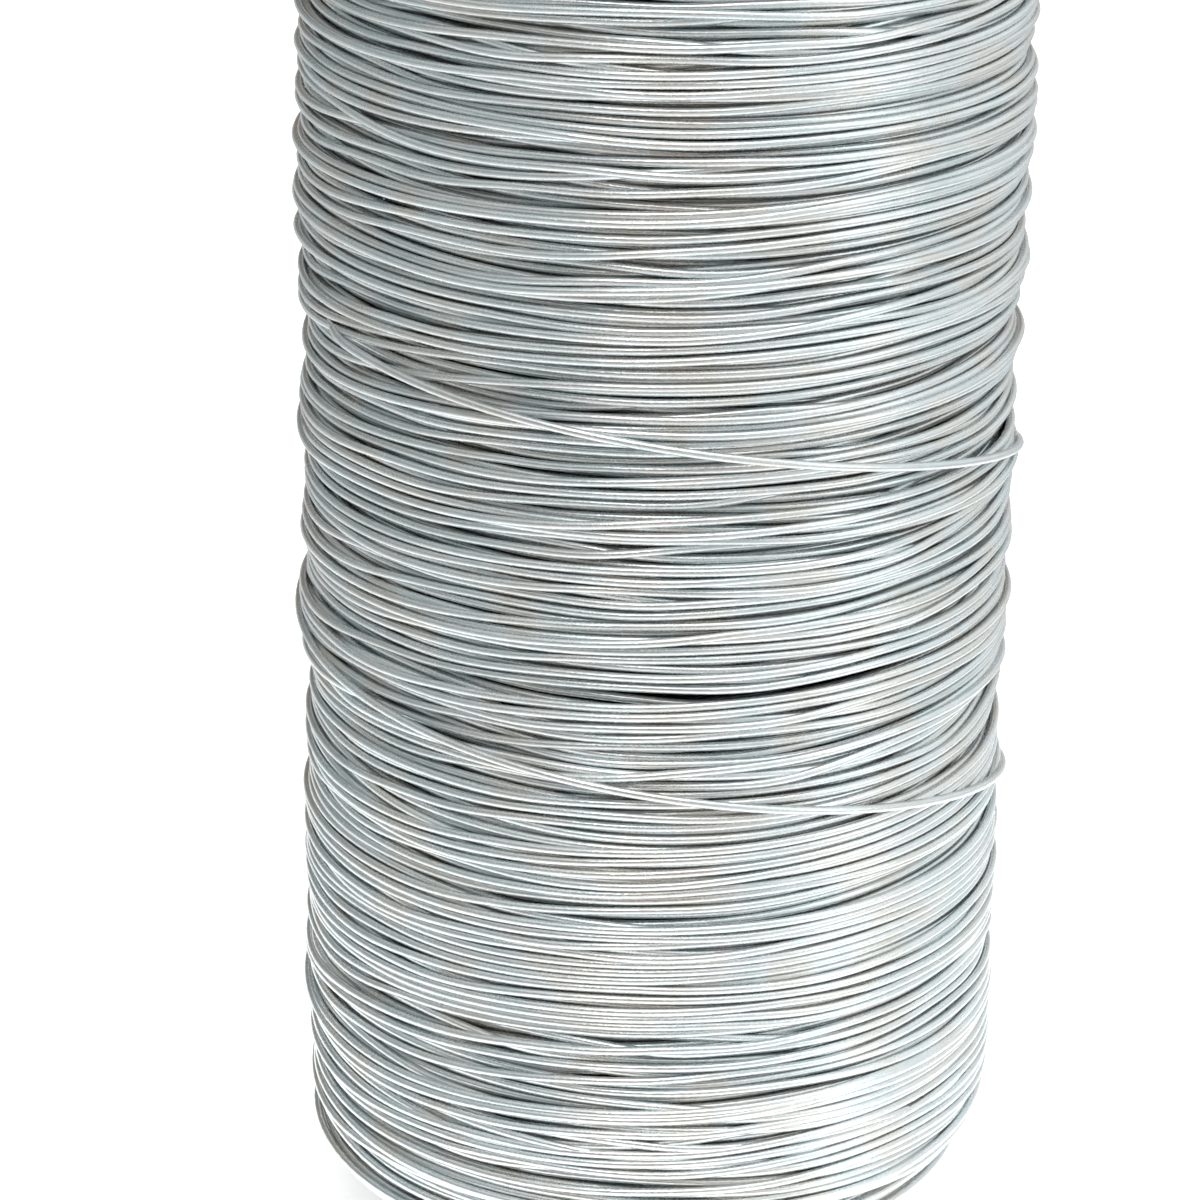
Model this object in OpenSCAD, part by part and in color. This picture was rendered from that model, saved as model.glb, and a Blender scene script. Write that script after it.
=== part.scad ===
// Wire spool: galvanised steel wire wound on a bolted reel.
// The reel stands on its lower flange: origin at the middle of the underside, +Z up the spindle axis.
// Two identical moulded flanges hold a fibre barrel tube between them, drawn together by tie bolts.

/* [Wire] */
// Diameter of the wire
wire_d = 1.5; // [1:0.1:2.5]
// Depth of the winding on the barrel
winding_depth = 22; // [18:0.5:40]
// Height of the winding between the flanges
winding_h = 256; // [200:1:400]
// Radius of the rounded shoulder at each end of the winding
shoulder_r = 24; // [12:0.5:30]
// Angle that the shoulder turns in before it meets the flange
shoulder_angle = 70; // [30:1:75]

/* [Loose strand] */
// How far above the winding's middle the loose strand first passes the front
strand_above = 27; // [0:1:40]
// How far the loose strand comes down in one turn
strand_pitch = 59; // [30:1:60]
// How far it dips away from a straight helix
strand_dip = 4.5; // [0:0.5:8]
// Angle at which the loose strand leaves the winding
strand_from = -160; // [-180:1:-120]
// Angle that it runs through before it goes under again
strand_run = 630; // [400:10:720]

/* [Barrel] */
// Outside diameter of the barrel tube
barrel_d = 76; // [64:1:100]
// Wall of the barrel tube
barrel_wall = 3; // [2:0.1:4]

/* [Flanges] */
// How far the flange stands out past the end of the winding
flange_lip = 2.4; // [2.2:0.1:30]
// Depth of each flange
flange_t = 8; // [7:0.5:14]
// Thickness of the web that the winding bears on
web_t = 3.5; // [2.5:0.5:5]
// Width of the rim
rim_w = 3.5; // [2.5:0.5:6]
// Rounding of the rim's edges
rim_round = 1.2; // [0.4:0.1:1.2]
// Number of ribs
rib_count = 12; // [12:12:24]
// Width of a rib
rib_w = 2.4; // [1.6:0.2:3]
// How far the ribs stay back from the rest face
rib_back = 1; // [0.5:0.5:2]
// Height of the spigot that centres the barrel
spigot_h = 6; // [4:0.5:10]
// Wall of that spigot
spigot_wall = 2.4; // [1.6:0.2:3]

/* [Spindle bore] */
// Diameter of the spindle bore
bore_d = 22; // [16:0.5:27]
// Wall of the steel bush
bush_wall = 2; // [1.5:0.1:2.5]
// Thickness of the bush's collar
collar_t = 2; // [1:0.5:3]
// How far the collar stands out round the bush
collar_out = 3; // [2:0.5:3]
// Wall of the hub round the bush
hub_wall = 4.5; // [3.5:0.5:5]
// How far the hub reaches into the barrel
hub_in = 8; // [6:0.5:14]

/* [Tie bolts] */
// Number of tie bolts, and of drive holes between them
bolt_count = 3; // [3:1:3]
// Thread diameter
bolt_d = 6; // [5:0.1:7.5]
// Width of the hexagon across its flats
hex_af = 10; // [8:0.5:10]
// Height of the bolt's head
head_h = 4; // [3:0.5:5]
// Height of the nut
nut_h = 5; // [4:0.5:6]
// Diameter of the washer
washer_d = 12; // [10:0.5:12]
// Thickness of the washer
washer_t = 1.6; // [1:0.1:2]
// How far the bolt stands out of its nut
bolt_out = 1; // [0.5:0.5:2]
// Plastic under the washer
seat_t = 5; // [4:0.5:8]
// Wall of the boss round the washer
boss_wall = 1.5; // [1:0.5:2]

/* [Drive holes] */
// Diameter of a drive hole
drive_d = 9; // [6:0.5:9]
// Wall of the boss round a drive hole
drive_wall = 3.5; // [3.2:0.1:4]

/* [Wire ends] */
// Diameter of the hole that the wire starts through
start_hole_d = 3.5; // [3:0.5:5]
// Least space between the start hole and the rim
hole_edge = 0.6; // [0.6:0.1:2]
// Angle of the start hole
start_angle = 195; // [195:30:345]
// Width of the notch that the wire's tail goes through
notch_w = 3; // [2.8:0.1:5]
// Angle of the tail notch
notch_angle = 45; // [15:30:165]
// Length of the tail that is bent over behind the upper flange
tail_bent = 6; // [4:0.5:6]
// Space between the bent start of the wire and the next rib
rib_clear = 1.4; // [0.6:0.1:1.5]
// Radius of either bend, at the middle of the wire
bend_r = 2; // [1.5:0.5:2]
// How far below the flange the tail leaves the winding
tail_rise = 12; // [8:1:16]
// Angle that the tail runs through on its way to the notch
tail_sweep = 40; // [30:5:60]

/* [Fits] */
// Gap round a piece that is pressed or seated in another
seat_gap = 0.05; // [0.02:0.01:0.1]
// Gap between the spigot and the barrel, and between the wire and the barrel
slip_gap = 0.1; // [0.1:0.05:0.3]
// Gap round a bolt in its hole
bolt_gap = 0.3; // [0.2:0.1:0.5]
// Gap that keeps a loose wire off what it lies on
lay_gap = 0.1; // [0.1:0.05:0.2]
// Gap between a bent wire end and the web behind it
bend_gap = 0.3; // [0.3:0.1:0.6]

/* [Hidden] */
$fn = 96;

total_h = winding_h + 2 * flange_t;
winding_r = barrel_d / 2 + winding_depth;
wire_r = wire_d / 2;

// The shoulder is an arc that leaves the straight side tangentially and stops at the flange.
shoulder_h = shoulder_r * sin(shoulder_angle);
end_r = winding_r - shoulder_r * (1 - cos(shoulder_angle));
start_r = barrel_d / 2 + start_hole_d / 2;
// The flange reaches past the winding's end, and its rim stands clear of the start hole.
flange_d = 2 * max(end_r + flange_lip, start_r + start_hole_d / 2 + hole_edge + rim_w);

spigot_d = barrel_d - 2 * barrel_wall - 2 * slip_gap;
bush_d = bore_d + 2 * bush_wall;
collar_d = bush_d + 2 * collar_out;
hub_d = bush_d + 2 * hub_wall;
// The bolts stand half way between the hub and the spigot.
bolt_circle = (spigot_d - 2 * spigot_wall + hub_d) / 2;
bush_len = flange_t + hub_in;

// The nut, its washer and the end of the bolt all stay below the flange's outer face.
recess_spare = 0.9;
recess_d = washer_d + 4 * bolt_gap;
recess_depth = washer_t + nut_h + bolt_out + recess_spare;
boss_d = recess_d + 2 * boss_wall;
boss_top = recess_depth + seat_t;
bolt_len = total_h - 2 * recess_depth + 2 * washer_t + nut_h + bolt_out;

tail_r = end_r + lay_gap + wire_r;
notch_in_r = tail_r - notch_w / 2;
web_back = flange_t - web_t;
bent_z = web_back - bend_gap - wire_r;
// The start of the wire runs straight on from its hole towards the next rib.
rib_half = 180 / rib_count;
start_bent = start_r * tan(rib_half) - rib_w / 2 / cos(rib_half) - bend_r - rib_clear;

wire_sides = 10;
strand_step = 6;
bend_step = 15;
tail_steps = 24;
arc_steps = 8;

// Angle of bolt number i, and of the drive hole that follows it.
function bolt_angle(i) = 90 + i * 360 / bolt_count;
function drive_angle(i) = bolt_angle(i) + 180 / bolt_count;

// A point in cylindrical coordinates.
function on_cylinder(r, a, z) = [r * cos(a), r * sin(a), z];
function unit(v) = v / norm(v);

// Direction of a route at point i, from its neighbours.
function heading(route, i) = unit(route[min(i + 1, len(route) - 1)] - route[max(i - 1, 0)]);

// The part of a direction that lies across another one.
function across(v, t) = unit(v - (v * t) * t);

// Directions across a route, carried from point to point so that the tube isn't twisted.
function carried_sides(route, first) =
    [for (i = 0, u = first; i < len(route); i = i + 1, u = across(u, heading(route, min(i, len(route) - 1)))) u];

// One ring of the tube's points round point i of a route.
function wire_ring(route, i, side) =
    let (t = heading(route, i))
    let (u = across(side, t))
    let (v = cross(t, u))
    [for (k = [0 : wire_sides - 1]) let (a = 360 * k / wire_sides)
        route[i] + wire_r * (cos(a) * u + sin(a) * v)];

// Round wire swept along a route. first is any direction across the route's first stretch.
module wire_along(route, first) {
    n = len(route);
    sides = carried_sides(route, first);
    points = [for (i = [0 : n - 1]) each wire_ring(route, i, sides[i])];
    walls = [for (i = [0 : n - 2]) for (k = [0 : wire_sides - 1])
        let (a = i * wire_sides + k)
        let (b = i * wire_sides + (k + 1) % wire_sides)
        each [[a, a + wire_sides, b], [b, a + wire_sides, b + wire_sides]]];
    first_cap = [for (k = [0 : wire_sides - 1]) k];
    last_cap = [for (k = [wire_sides - 1 : -1 : 0]) (n - 1) * wire_sides + k];
    polyhedron(points, concat([first_cap], walls, [last_cap]));
}

// Distance of the winding's surface from the axis at a height.
function surface_r(z) =
    let (from_flange = min(z - flange_t, total_h - flange_t - z))
    let (into_shoulder = max(shoulder_h - from_flange, 0))
    winding_r - shoulder_r + sqrt(pow(shoulder_r, 2) - pow(into_shoulder, 2));

// A point on a wire that lies on the winding.
function on_winding(a, z) = on_cylinder(surface_r(z) + lay_gap + wire_r, a, z);

// Right-angled bend from straight down to +X, then a straight length, for a wire end at height low.
function bend_route(low, straight) = concat(
    [for (a = [0 : bend_step : 90]) [bend_r - bend_r * cos(a), 0, low + bend_r - bend_r * sin(a)]],
    [[bend_r + straight, 0, low]]
);

module ring(outer_d, inner_d, h) {
    difference() {
        cylinder(d = outer_d, h = h);
        translate([0, 0, -1]) cylinder(d = inner_d, h = h + 2);
    }
}

// The same piece turned over for the other end of the reel.
module at_upper_end() {
    translate([0, 0, total_h]) mirror([0, 0, 1]) children();
}

// Section of the flange's web and rounded rim, right of the axis.
module flange_section() {
    r = flange_d / 2;
    rim = concat(
        [for (a = [-90 : 15 : 0]) [r - rim_round + rim_round * cos(a), rim_round + rim_round * sin(a)]],
        [for (a = [0 : 15 : 90]) [r - rim_round + rim_round * cos(a), flange_t - rim_round + rim_round * sin(a)]]
    );
    polygon(concat([[0, flange_t], [0, web_back], [r - rim_w, web_back], [r - rim_w, 0]], rim));
}

module flange_ribs() {
    from_r = hub_d / 2 - hub_wall / 2;
    to_r = flange_d / 2 - rim_w / 2;
    for (i = [0 : rib_count - 1])
        rotate(i * 360 / rib_count)
            translate([from_r, -rib_w / 2, rib_back])
                cube([to_r - from_r, rib_w, flange_t - rib_back - web_t / 2]);
}

// Bosses round the bolts and the drive holes.
module bosses() {
    for (i = [0 : bolt_count - 1]) {
        rotate(bolt_angle(i)) translate([bolt_circle / 2, 0, 0]) cylinder(d = boss_d, h = boss_top);
        rotate(drive_angle(i)) translate([bolt_circle / 2, 0, 0])
            cylinder(d = drive_d + 2 * drive_wall, h = flange_t + spigot_h);
    }
}

module flange_solid() {
    rotate_extrude() flange_section();
    flange_ribs();
    cylinder(d = hub_d, h = bush_len);
    translate([0, 0, flange_t - web_t / 2]) ring(spigot_d, spigot_d - 2 * spigot_wall, spigot_h + web_t / 2);
    // Where the barrel is too narrow for them, the bosses end at the spigot's outside.
    intersection() {
        bosses();
        cylinder(d = spigot_d, h = boss_top + spigot_h);
    }
}

module bolt_hole() {
    translate([0, 0, -1]) cylinder(d = recess_d, h = recess_depth + 1);
    cylinder(d = bolt_d + 2 * bolt_gap, h = boss_top + 1);
}

// The notch opens the rim and the web, and its inner end is round. Behind the web it goes right
// through the rim, for the bent end of the tail.
module tail_notch() {
    translate([notch_in_r + notch_w / 2, -notch_w / 2, -1]) cube([flange_d, notch_w, flange_t + 2]);
    translate([notch_in_r + notch_w / 2, 0, -1]) cylinder(d = notch_w, h = flange_t + 2);
    translate([flange_d / 2 - rim_w - 1, -notch_w / 2, -1]) cube([rim_w, notch_w, web_back + 1]);
}

module flange() {
    difference() {
        flange_solid();
        translate([0, 0, -1]) cylinder(d = bush_d + 2 * seat_gap, h = bush_len + 2);
        translate([0, 0, -1]) cylinder(d = collar_d + 2 * seat_gap, h = collar_t + seat_gap + 1);
        for (i = [0 : bolt_count - 1]) {
            rotate(bolt_angle(i)) translate([bolt_circle / 2, 0, 0]) bolt_hole();
            rotate(drive_angle(i)) translate([bolt_circle / 2, 0, -1])
                cylinder(d = drive_d, h = flange_t + spigot_h + 2);
        }
        rotate(start_angle) translate([start_r, 0, -1]) cylinder(d = start_hole_d, h = flange_t + 2);
        rotate(notch_angle) tail_notch();
    }
}

// Steel bush with a collar that sits flush in the flange's outer face.
module bush() {
    difference() {
        union() {
            cylinder(d = bush_d, h = bush_len);
            cylinder(d = collar_d, h = collar_t);
        }
        translate([0, 0, -1]) cylinder(d = bore_d, h = bush_len + 2);
    }
}

module hexagon(h) {
    cylinder(d = hex_af / cos(30), h = h, $fn = 6);
}

// Places a piece on the axis of bolt number i.
module on_bolt(i, z) {
    rotate(bolt_angle(i)) translate([bolt_circle / 2, 0, z]) children();
}

module tie_bolt(i) {
    color("lightgray") on_bolt(i, recess_depth - washer_t - head_h) {
        hexagon(head_h);
        cylinder(d = bolt_d, h = head_h + bolt_len);
    }
}

module bolt_washer(i, z) {
    color("silver") on_bolt(i, z) ring(washer_d, bolt_d + bolt_gap, washer_t);
}

module head_washer(i) {
    bolt_washer(i, recess_depth - washer_t);
}

module nut_washer(i) {
    bolt_washer(i, total_h - recess_depth);
}

module bolt_nut(i) {
    color("lightgray") on_bolt(i, total_h - recess_depth + washer_t)
        difference() {
            hexagon(nut_h);
            translate([0, 0, -1]) cylinder(d = bolt_d + 2 * seat_gap, h = nut_h + 2);
        }
}

module barrel_tube() {
    color("burlywood") translate([0, 0, flange_t]) ring(barrel_d, barrel_d - 2 * barrel_wall, winding_h);
}

module lower_flange() {
    color([0.16, 0.18, 0.19]) flange();
}

module upper_flange() {
    color([0.16, 0.18, 0.19]) at_upper_end() flange();
}

module lower_bush() {
    color("gray") bush();
}

module upper_bush() {
    color("gray") at_upper_end() bush();
}

// The layers under the shoulders: a plain ring from flange to flange.
module wire_inner_layers() {
    color([0.62, 0.66, 0.66]) translate([0, 0, flange_t])
        ring(2 * end_r - 2 * seat_gap, barrel_d + 2 * slip_gap, winding_h);
}

// The layers that build the shoulders, closing to nothing at the flanges.
module wire_outer_layers() {
    step = shoulder_angle / arc_steps;
    arc = [for (i = [0 : arc_steps - 1])
        [winding_r - shoulder_r + shoulder_r * cos(i * step), shoulder_h - shoulder_r * sin(i * step)]];
    lower = [for (i = [arc_steps - 1 : -1 : 0]) [arc[i][0], flange_t + arc[i][1]]];
    upper = [for (i = [0 : arc_steps - 1]) [arc[i][0], total_h - flange_t - arc[i][1]]];
    inner_r = end_r + seat_gap;
    color([0.74, 0.77, 0.77]) rotate_extrude()
        polygon(concat([[inner_r, flange_t]], lower, upper, [[inner_r, total_h - flange_t]]));
}

// The last pass of the wire, which runs fast down the outside of the winding.
function strand_height(a) =
    total_h / 2 + strand_above - strand_pitch * (a + 90) / 360 - strand_dip * (1 - cos(a + 90));

module loose_strand() {
    route = [for (a = [strand_from : strand_step : strand_from + strand_run])
        on_winding(a, strand_height(a))];
    color([0.82, 0.85, 0.85]) wire_along(route, on_cylinder(1, strand_from, 0));
}

// The first end of the wire, brought out through the lower flange and bent along its web.
module wire_start_end() {
    route = concat([[0, 0, flange_t - lay_gap]], bend_route(bent_z, start_bent));
    color([0.74, 0.77, 0.77])
        rotate(start_angle) translate([start_r, 0, 0]) rotate(-90)
            wire_along(route, [0, 1, 0]);
}

// The last end of the wire. It climbs the shoulder, goes through the notch and is bent inwards.
module wire_tail_end() {
    top = total_h - flange_t;
    climb = [for (i = [0 : tail_steps]) let (left = 1 - i / tail_steps)
        on_winding(notch_angle - tail_sweep * pow(left, 2), top - tail_rise * left)];
    bend = [for (p = bend_route(bent_z, tail_bent)) on_cylinder(tail_r - p[0], notch_angle, total_h - p[2])];
    color([0.74, 0.77, 0.77])
        wire_along(concat(climb, bend), on_cylinder(1, notch_angle - tail_sweep, 0));
}

barrel_tube();
lower_flange();
upper_flange();
lower_bush();
upper_bush();
tie_bolt(0);  // tie_bolt_1
tie_bolt(1);  // tie_bolt_2
tie_bolt(2);  // tie_bolt_3
head_washer(0);  // head_washer_1
head_washer(1);  // head_washer_2
head_washer(2);  // head_washer_3
nut_washer(0);  // nut_washer_1
nut_washer(1);  // nut_washer_2
nut_washer(2);  // nut_washer_3
bolt_nut(0);  // bolt_nut_1
bolt_nut(1);  // bolt_nut_2
bolt_nut(2);  // bolt_nut_3
wire_inner_layers();
wire_outer_layers();
loose_strand();
wire_start_end();
wire_tail_end();
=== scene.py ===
# %% [markdown]
# A spool of galvanised steel wire.
# A bolted reel holds some 750 m of 1.5 mm wire, and nearly all that is seen of it is the winding.
# The imported CAD model comes in first. It fixes every size and place, and nothing here moves it.
# The CAD model's box is worked out and printed.

# %% Load the frame
from math import atan2, cos, pi, radians, sin, sqrt, tan

import bmesh
import bpy
import numpy as np
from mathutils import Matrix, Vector


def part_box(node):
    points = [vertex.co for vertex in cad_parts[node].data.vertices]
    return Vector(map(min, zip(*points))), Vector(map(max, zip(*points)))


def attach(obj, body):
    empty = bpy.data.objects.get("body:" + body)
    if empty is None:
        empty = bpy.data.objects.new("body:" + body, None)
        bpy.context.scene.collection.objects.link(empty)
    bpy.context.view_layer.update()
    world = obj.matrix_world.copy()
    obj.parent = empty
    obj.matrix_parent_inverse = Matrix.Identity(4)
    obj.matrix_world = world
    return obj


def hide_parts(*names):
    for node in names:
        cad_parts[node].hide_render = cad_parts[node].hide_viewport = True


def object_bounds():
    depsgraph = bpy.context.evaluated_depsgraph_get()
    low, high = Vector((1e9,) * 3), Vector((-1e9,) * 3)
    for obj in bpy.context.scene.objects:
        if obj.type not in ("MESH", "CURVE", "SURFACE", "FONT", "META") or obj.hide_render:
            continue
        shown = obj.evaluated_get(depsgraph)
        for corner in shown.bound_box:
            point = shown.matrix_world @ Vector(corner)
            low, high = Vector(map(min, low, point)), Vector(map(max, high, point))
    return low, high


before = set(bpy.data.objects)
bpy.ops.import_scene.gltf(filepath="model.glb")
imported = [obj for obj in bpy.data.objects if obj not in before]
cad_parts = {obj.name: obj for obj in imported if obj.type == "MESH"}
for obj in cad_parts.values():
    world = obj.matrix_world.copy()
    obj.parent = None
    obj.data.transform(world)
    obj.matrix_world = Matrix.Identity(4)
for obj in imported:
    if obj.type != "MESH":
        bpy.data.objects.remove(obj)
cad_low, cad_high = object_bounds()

BODY = "root"
MM = 0.001
print("CAD box", [round(v / MM, 1) for v in (*cad_low, *cad_high)], "mm")

# %% [markdown]
# The camera stands in front of the spool, a little to the left and well above the middle.
# A long lens from two thirds of a metre keeps the sides of the winding almost parallel.
# The frame is filled by the winding, and both ends of the reel are outside it.

# %% Camera
CAMERA_LEFT = 9.37 * MM
CAMERA_BACK = 659.3 * MM
CAMERA_UP = 381.9 * MM
LOOK_DOWN = radians(22.188)
TILT = radians(0.7925)

bpy.ops.object.camera_add(location=(-CAMERA_LEFT, -CAMERA_BACK, CAMERA_UP))
camera = bpy.context.object
camera.rotation_mode = "ZYX"
camera.rotation_euler = (pi / 2 - LOOK_DOWN, 0, TILT)
camera.data.lens = 124.34
camera.data.sensor_width = 36
camera.data.clip_start = 0.05
camera.data.clip_end = 60
bpy.context.scene.camera = camera
print("camera", round(camera.location.length, 3), "m from the origin")

# %% [markdown]
# Bare metal shows only what is round it, so its light is a room and not just a lamp.
# The world is that room: a bright ceiling, and a dim warm band at eye level that draws the
# thin dark line along each wire. A pale window covers the right of the room and a grey wall
# the left, and the ceiling is dimmer behind the spool.
# A ray that goes straight to the world sees a plain pale backdrop.

# %% Node helpers
def add_node(tree, kind, values=None, **settings):
    """A new node, with its settings, and its inputs' values by name or number."""
    made = tree.nodes.new(kind)
    for name, value in settings.items():
        setattr(made, name, value)
    for socket, value in (values or {}).items():
        made.inputs[socket].default_value = value
    return made


def ramp(tree, source, stops, mode="LINEAR"):
    """A colour ramp on a source socket. Stops are pairs of a place and a colour or a grey."""
    made = add_node(tree, "ShaderNodeValToRGB")
    made.color_ramp.interpolation = mode
    elements = made.color_ramp.elements
    while len(elements) < len(stops):
        elements.new(0.5)
    for element, (place, colour) in zip(elements, stops):
        element.position = place
        element.color = (*colour, 1) if isinstance(colour, tuple) else (colour,) * 3 + (1,)
    tree.links.new(source, made.inputs["Fac"])
    return made.outputs["Color"]


def maths(tree, operation, first, second=None, clamp=False):
    """A maths node on two inputs, each of them a socket or a number."""
    made = add_node(tree, "ShaderNodeMath", operation=operation, use_clamp=clamp)
    for socket, value in zip(made.inputs, (first, second)):
        if isinstance(value, (int, float)):
            socket.default_value = value
        elif value is not None:
            tree.links.new(value, socket)
    return made.outputs["Value"]


def mixed(tree, share, first, second, blend="MIX"):
    """A colour mix. Each input is a socket, a colour or a number."""
    made = add_node(tree, "ShaderNodeMix", data_type="RGBA", blend_type=blend)
    for socket, value in zip((made.inputs[0], made.inputs[6], made.inputs[7]), (share, first, second)):
        if isinstance(value, tuple):
            socket.default_value = (*value, 1)
        elif isinstance(value, (int, float)):
            socket.default_value = value if socket.type == "VALUE" else (value, value, value, 1)
        else:
            tree.links.new(value, socket)
    return made.outputs[2]


# %% World
CEILING = (1.38, 1.415, 1.425)
EYE_LEVEL = (0.27, 0.18, 0.13)
HORIZON = 0.9
LEFT_WALL = (0.31, 0.355, 0.355)
RIGHT_WINDOW = (0.83, 0.89, 0.91)
BACKDROP = (1.0, 1.0, 1.0)
ROOM_STRENGTH = 1.22

world = bpy.data.worlds.new("studio")
bpy.context.scene.world = world
world.use_nodes = True
room = world.node_tree
room.nodes.clear()
where = add_node(room, "ShaderNodeTexCoord").outputs["Generated"]
axes = add_node(room, "ShaderNodeSeparateXYZ")
room.links.new(where, axes.inputs[0])
rise = maths(room, "MULTIPLY_ADD", axes.outputs["Z"], 0.5)
rise.node.inputs[2].default_value = 0.5
level = ramp(room, rise, [
    (0.5, HORIZON), (0.53, EYE_LEVEL), (0.77, EYE_LEVEL), (0.83, CEILING), (1.0, CEILING)])
across = maths(room, "MULTIPLY_ADD", axes.outputs["X"], 0.5)
across.node.inputs[2].default_value = 0.5
side = ramp(room, across, [(0.0, 0.4), (0.3, 0.62), (0.45, 0.95), (0.6, 0.95), (0.9, 0.8)])
behind = ramp(room, axes.outputs["Y"], [(0.0, 1.0), (0.5, 0.6)])
window = ramp(room, across, [(0.55, 0.0), (0.85, 0.9)])
sided = mixed(room, 1.0, level, side, "MULTIPLY")
shaded = mixed(room, 1.0, sided, behind, "MULTIPLY")
wall = ramp(room, across, [(0.1, 0.8), (0.4, 0.0)])
walled = mixed(room, wall, shaded, LEFT_WALL)
lit = mixed(room, window, walled, RIGHT_WINDOW)
rays = add_node(room, "ShaderNodeLightPath")
seen = add_node(room, "ShaderNodeBackground", {"Color": (*BACKDROP, 1), "Strength": 1.0})
cast = add_node(room, "ShaderNodeBackground", {"Strength": ROOM_STRENGTH})
room.links.new(lit, cast.inputs["Color"])
chosen = add_node(room, "ShaderNodeMixShader")
room.links.new(rays.outputs["Is Camera Ray"], chosen.inputs[0])
room.links.new(cast.outputs[0], chosen.inputs[1])
room.links.new(seen.outputs[0], chosen.inputs[2])
room.links.new(chosen.outputs[0], add_node(room, "ShaderNodeOutputWorld").inputs[0])
bpy.context.scene.view_settings.view_transform = "Standard"
print("world nodes", len(room.nodes))

# %% [markdown]
# Three soft lamps stand in that room: a wide one overhead, a tall one on the right and a
# smaller one near the camera, whose streak runs down the middle of the winding.

# %% Lamps
def lamp(name, place, aim, size, power, colour=(1, 1, 1)):
    """A rectangular soft light that shines on a point."""
    bpy.ops.object.light_add(type="AREA", location=place)
    made = bpy.context.object
    made.name = name
    made.rotation_euler = (Vector(aim) - Vector(place)).to_track_quat("-Z", "Y").to_euler()
    made.data.shape = "RECTANGLE"
    made.data.size, made.data.size_y = size
    made.data.energy = power
    made.data.color = colour
    made.visible_camera = False
    return made


middle = (cad_low + cad_high) / 2
lamp("overhead", (0.35, -0.4, 1.5), middle, (1.3, 0.8), 4)
lamp("tall_right", (1.5, -0.7, 0.7), middle, (0.8, 1.4), 3, (0.97, 0.99, 1.0))
lamp("near_camera", (-0.25, -0.95, 1.15), middle, (0.3, 0.4), 1.1)

# %% [markdown]
# The floor is a wide pale sheet. It is seen only from above, so that the underside of the
# spool can be looked at as well. It glows a little, and in what it throws back on the spool
# that glow is strongest near the foot and its colour is paler there: a painted pool of light,
# so the lower wires are lit more from below.

# %% Floor
FLOOR_HALF = 12

bpy.ops.mesh.primitive_plane_add(size=2 * FLOOR_HALF, location=(0, 0, 0))
floor = bpy.context.object
floor.name = "floor"
paper = bpy.data.materials.new("floor_paper")
paper.use_nodes = True
tree = paper.node_tree
tree.nodes.clear()
sheet = add_node(tree, "ShaderNodeBsdfPrincipled", {
    "Base Color": (0.9, 0.9, 0.9, 1), "Roughness": 0.8,
    "Emission Color": (1, 1, 1, 1), "Emission Strength": 0.5})
away = add_node(tree, "ShaderNodeVectorMath", operation="LENGTH")
tree.links.new(add_node(tree, "ShaderNodeTexCoord").outputs["Object"], away.inputs[0])
pool = ramp(tree, away.outputs["Value"], [(0.08, 1.1), (0.4, 0.15)])
# Painted pool of light: as the spool sees it, the floor's colour is paler near the foot.
painted_pool_paleness = ramp(tree, away.outputs["Value"], [(0.1, 0.9), (0.5, 0.5)])
direct = add_node(tree, "ShaderNodeLightPath").outputs["Is Camera Ray"]
tree.links.new(mixed(tree, direct, pool, 0.5), sheet.inputs["Emission Strength"])
tree.links.new(mixed(tree, direct, painted_pool_paleness, 0.9), sheet.inputs["Base Color"])
side_seen = add_node(tree, "ShaderNodeNewGeometry").outputs["Backfacing"]
one_sided = add_node(tree, "ShaderNodeMixShader")
tree.links.new(side_seen, one_sided.inputs[0])
tree.links.new(sheet.outputs[0], one_sided.inputs[1])
tree.links.new(add_node(tree, "ShaderNodeBsdfTransparent").outputs[0], one_sided.inputs[2])
tree.links.new(one_sided.outputs[0], add_node(tree, "ShaderNodeOutputMaterial").inputs["Surface"])
floor.data.materials.append(paper)
print("floor", 2 * FLOOR_HALF, "m wide")

# %% [markdown]
# The winding. A machine laid this wire at random pitch: it goes on in bundles of a few turns
# that lie side by side and swing up and down together, and each bundle crosses the ones
# under it. That leaves long lens-shaped gaps where the layer below shows.
# A pattern in a material can't give such crossings, so the wire is really wound here.
# Under the wire is a table of heights, the ground: for each angle round the axis and each
# height it holds how far out the middle of a new wire would come to lie.

# %% Sizes of the winding, in millimetres
winding_low, winding_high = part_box("wire_outer_layers")
WIRE_D = 1.5
WIRE_R = WIRE_D / 2
LOW = winding_low.z / MM
HIGH = winding_high.z / MM
WINDING_R = winding_high.x / MM
END_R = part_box("wire_inner_layers")[1].x / MM
SHOULDER_R = 24
SHOULDER_ANGLE = radians(70)
SHOULDER_H = SHOULDER_R * sin(SHOULDER_ANGLE)
LAYERS = 11
FIRST_R = 45.1

SPOTS = 128
ROW = 0.125
rows = int((HIGH - LOW) / ROW) + 1
spot = np.arange(SPOTS)
turned = spot / SPOTS
SEAM_ANGLE = 90
around = turned * 2 * pi + radians(SEAM_ANGLE)
ground = np.full((SPOTS, rows), FIRST_R + WIRE_R)
print("ground", ground.shape, "for a winding from", round(LOW, 1), "to", round(HIGH, 1))


# %% Where a wire may lie
def ground_at(z):
    """How far out a wire's middle lies at a height, at each spot round the winding."""
    place = np.clip((z - LOW) / ROW, 0, rows - 1.001)
    below = place.astype(int)
    share = place - below
    return ground[spot, below] * (1 - share) + ground[spot, below + 1] * share


def traverse(r):
    """Lowest and highest place of a wire at a distance from the axis, inside the shoulders."""
    outside = min(max(r + 0.1, END_R), WINDING_R - 0.15)
    arc = sqrt(max(SHOULDER_R ** 2 - (outside - WINDING_R + SHOULDER_R) ** 2, 0))
    inset = max(SHOULDER_H - arc, 0) + WIRE_R * 1.02
    return LOW + inset, HIGH - inset


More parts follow.
